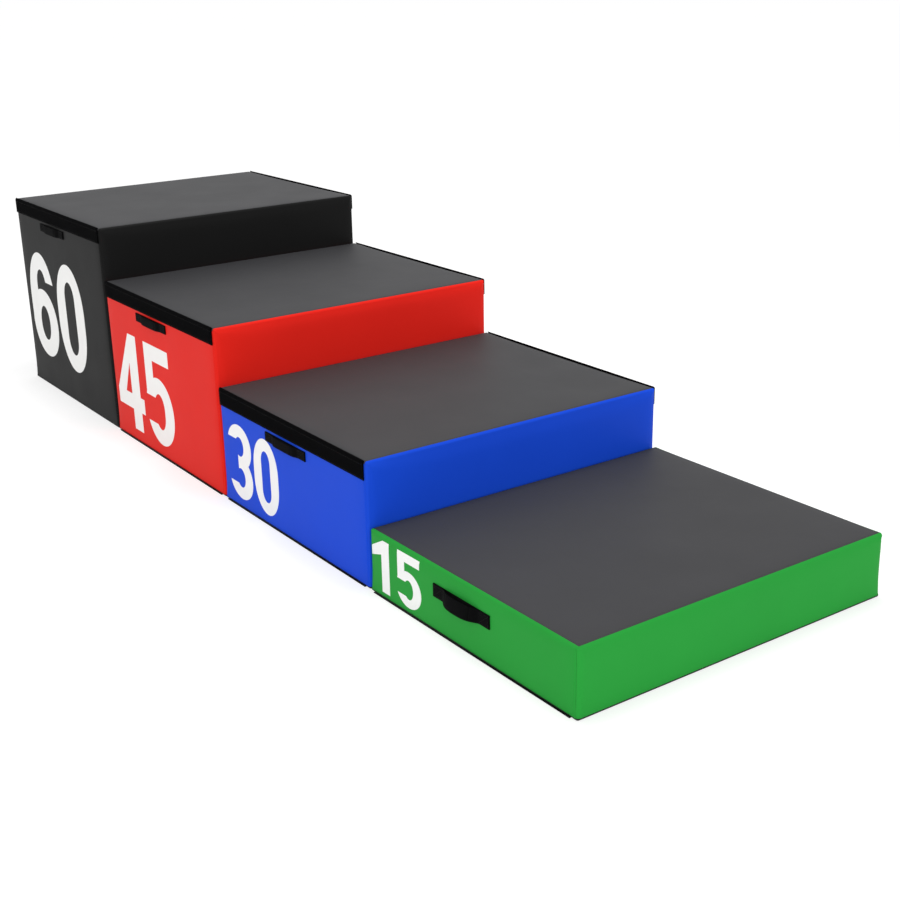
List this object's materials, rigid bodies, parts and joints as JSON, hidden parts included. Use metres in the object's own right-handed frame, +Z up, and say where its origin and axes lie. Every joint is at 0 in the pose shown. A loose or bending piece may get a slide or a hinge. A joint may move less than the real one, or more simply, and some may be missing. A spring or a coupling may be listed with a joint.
{
  "type": "plyo box",
  "caption": "Soft foam plyo boxes in a stepped row: coloured vinyl covers printed with their heights, webbing grips, loop strips and fold-out hook flaps that hold a stack.",
  "frame": {"origin": "on the floor, under the middle of the row's box", "axes": "+X down the row from the tallest box to the lowest, numbered ends face -Y, +Z up"},
  "size_m": [2.8024, 0.884, 0.6],
  "materials": {
    "foam": "matte",
    "vinyl_top": "matte",
    "vinyl_charcoal": "satin",
    "vinyl_red": "satin",
    "vinyl_blue": "satin",
    "vinyl_green": "satin",
    "base_rubber": "matte",
    "webbing": "matte",
    "loop_tape": "matte",
    "hook_flap": "matte",
    "zip_tape": "matte",
    "zip_metal": "satin",
    "white_print": "satin"
  },
  "bodies": {
    "box_60": {"foam_planks_60": "foam", "top_sheet_60": "vinyl_top", "end_panels_60": "vinyl_charcoal", "riser_panels_60": "vinyl_charcoal", "base_mat_60": "base_rubber", "strap_ends_60": "webbing", "zip_tape_60": "zip_tape", "number_60": "white_print", "loop_strips_60": "loop_tape"},
    "front_grip_60": {"front_grip_60": "webbing"},
    "rear_grip_60": {"rear_grip_60": "webbing"},
    "zip_slider_60": {"zip_slider_60": "zip_metal"},
    "zip_pull_60": {"zip_pull_60": "zip_metal"},
    "box_45": {"foam_planks_45": "foam", "top_sheet_45": "vinyl_top", "end_panels_45": "vinyl_red", "riser_panels_45": "vinyl_red", "base_mat_45": "base_rubber", "strap_ends_45": "webbing", "zip_tape_45": "zip_tape", "number_45": "white_print", "loop_strips_45": "loop_tape"},
    "front_grip_45": {"front_grip_45": "webbing"},
    "rear_grip_45": {"rear_grip_45": "webbing"},
    "zip_slider_45": {"zip_slider_45": "zip_metal"},
    "zip_pull_45": {"zip_pull_45": "zip_metal"},
    "front_flap_45": {"front_flap_45": "hook_flap"},
    "rear_flap_45": {"rear_flap_45": "hook_flap"},
    "box_30": {"foam_planks_30": "foam", "top_sheet_30": "vinyl_top", "end_panels_30": "vinyl_blue", "riser_panels_30": "vinyl_blue", "base_mat_30": "base_rubber", "strap_ends_30": "webbing", "zip_tape_30": "zip_tape", "number_30": "white_print", "loop_strips_30": "loop_tape"},
    "front_grip_30": {"front_grip_30": "webbing"},
    "rear_grip_30": {"rear_grip_30": "webbing"},
    "zip_slider_30": {"zip_slider_30": "zip_metal"},
    "zip_pull_30": {"zip_pull_30": "zip_metal"},
    "front_flap_30": {"front_flap_30": "hook_flap"},
    "rear_flap_30": {"rear_flap_30": "hook_flap"},
    "box_15": {"foam_planks_15": "foam", "top_sheet_15": "vinyl_top", "end_panels_15": "vinyl_green", "riser_panels_15": "vinyl_green", "base_mat_15": "base_rubber", "strap_ends_15": "webbing", "zip_tape_15": "zip_tape", "number_15": "white_print"},
    "front_grip_15": {"front_grip_15": "webbing"},
    "rear_grip_15": {"rear_grip_15": "webbing"},
    "zip_slider_15": {"zip_slider_15": "zip_metal"},
    "zip_pull_15": {"zip_pull_15": "zip_metal"},
    "front_flap_15": {"front_flap_15": "hook_flap"},
    "rear_flap_15": {"rear_flap_15": "hook_flap"}
  },
  "joints": [
    {"name": "front_grip_swing_60", "type": "hinge", "parent": "box_60", "child": "front_grip_60", "pos_m": [-1.0872, -0.4265, 0.536], "axis": [-1, 0, 0], "range_deg": [-20, 20], "stiffness_Nm_per_rad": 0.01},
    {"name": "rear_grip_swing_60", "type": "hinge", "parent": "box_60", "child": "rear_grip_60", "pos_m": [-1.0872, 0.4265, 0.536], "axis": [1, 0, 0], "range_deg": [-20, 20], "stiffness_Nm_per_rad": 0.01},
    {"name": "zip_slide_60", "type": "slide", "parent": "box_60", "child": "zip_slider_60", "axis": [-1, 0, 0], "range_m": [0, 0.548]},
    {"name": "zip_pull_flip_60", "type": "hinge", "parent": "zip_slider_60", "child": "zip_pull_60", "pos_m": [-0.7772, 0.4319, 0.028], "axis": [0, 0, 1], "range_deg": [0, 180]},
    {"name": "lift_45", "type": "slide", "parent": "box_60", "child": "box_45", "axis": [0, 0, 1], "range_m": [0, 0.62]},
    {"name": "front_grip_swing_45", "type": "hinge", "parent": "box_45", "child": "front_grip_45", "pos_m": [-0.3864, -0.4265, 0.386], "axis": [-1, 0, 0], "range_deg": [-20, 20], "stiffness_Nm_per_rad": 0.01},
    {"name": "front_flap_swing_45", "type": "hinge", "parent": "box_45", "child": "front_flap_45", "pos_m": [-0.3504, -0.4281, 0.0016], "axis": [-1, 0, 0], "range_deg": [0, 180]},
    {"name": "rear_grip_swing_45", "type": "hinge", "parent": "box_45", "child": "rear_grip_45", "pos_m": [-0.3864, 0.4265, 0.386], "axis": [1, 0, 0], "range_deg": [-20, 20], "stiffness_Nm_per_rad": 0.01},
    {"name": "rear_flap_swing_45", "type": "hinge", "parent": "box_45", "child": "rear_flap_45", "pos_m": [-0.3504, 0.4281, 0.0016], "axis": [1, 0, 0], "range_deg": [0, 180]},
    {"name": "zip_slide_45", "type": "slide", "parent": "box_45", "child": "zip_slider_45", "axis": [-1, 0, 0], "range_m": [0, 0.548]},
    {"name": "zip_pull_flip_45", "type": "hinge", "parent": "zip_slider_45", "child": "zip_pull_45", "pos_m": [-0.0764, 0.4319, 0.028], "axis": [0, 0, 1], "range_deg": [0, 180]},
    {"name": "lift_30", "type": "slide", "parent": "box_60", "child": "box_30", "axis": [0, 0, 1], "range_m": [0, 0.62]},
    {"name": "front_grip_swing_30", "type": "hinge", "parent": "box_30", "child": "front_grip_30", "pos_m": [0.3432, -0.4265, 0.236], "axis": [-1, 0, 0], "range_deg": [-20, 20], "stiffness_Nm_per_rad": 0.01},
    {"name": "front_flap_swing_30", "type": "hinge", "parent": "box_30", "child": "front_flap_30", "pos_m": [0.3504, -0.4281, 0.0016], "axis": [-1, 0, 0], "range_deg": [0, 180]},
    {"name": "rear_grip_swing_30", "type": "hinge", "parent": "box_30", "child": "rear_grip_30", "pos_m": [0.3432, 0.4265, 0.236], "axis": [1, 0, 0], "range_deg": [-20, 20], "stiffness_Nm_per_rad": 0.01},
    {"name": "rear_flap_swing_30", "type": "hinge", "parent": "box_30", "child": "rear_flap_30", "pos_m": [0.3504, 0.4281, 0.0016], "axis": [1, 0, 0], "range_deg": [0, 180]},
    {"name": "zip_slide_30", "type": "slide", "parent": "box_30", "child": "zip_slider_30", "axis": [-1, 0, 0], "range_m": [0, 0.548]},
    {"name": "zip_pull_flip_30", "type": "hinge", "parent": "zip_slider_30", "child": "zip_pull_30", "pos_m": [0.6244, 0.4319, 0.028], "axis": [0, 0, 1], "range_deg": [0, 180]},
    {"name": "lift_15", "type": "slide", "parent": "box_60", "child": "box_15", "axis": [0, 0, 1], "range_m": [0, 0.62]},
    {"name": "front_grip_swing_15", "type": "hinge", "parent": "box_15", "child": "front_grip_15", "pos_m": [1.044, -0.4265, 0.095], "axis": [-1, 0, 0], "range_deg": [-30, 30], "stiffness_Nm_per_rad": 0.01},
    {"name": "front_flap_swing_15", "type": "hinge", "parent": "box_15", "child": "front_flap_15", "pos_m": [1.0512, -0.4281, 0.0016], "axis": [-1, 0, 0], "range_deg": [0, 180]},
    {"name": "rear_grip_swing_15", "type": "hinge", "parent": "box_15", "child": "rear_grip_15", "pos_m": [1.044, 0.4265, 0.095], "axis": [1, 0, 0], "range_deg": [-30, 30], "stiffness_Nm_per_rad": 0.01},
    {"name": "rear_flap_swing_15", "type": "hinge", "parent": "box_15", "child": "rear_flap_15", "pos_m": [1.0512, 0.4281, 0.0016], "axis": [1, 0, 0], "range_deg": [0, 180]},
    {"name": "zip_slide_15", "type": "slide", "parent": "box_15", "child": "zip_slider_15", "axis": [-1, 0, 0], "range_m": [0, 0.548]},
    {"name": "zip_pull_flip_15", "type": "hinge", "parent": "zip_slider_15", "child": "zip_pull_15", "pos_m": [1.3252, 0.4319, 0.028], "axis": [0, 0, 1], "range_deg": [0, 180]}
  ]
}
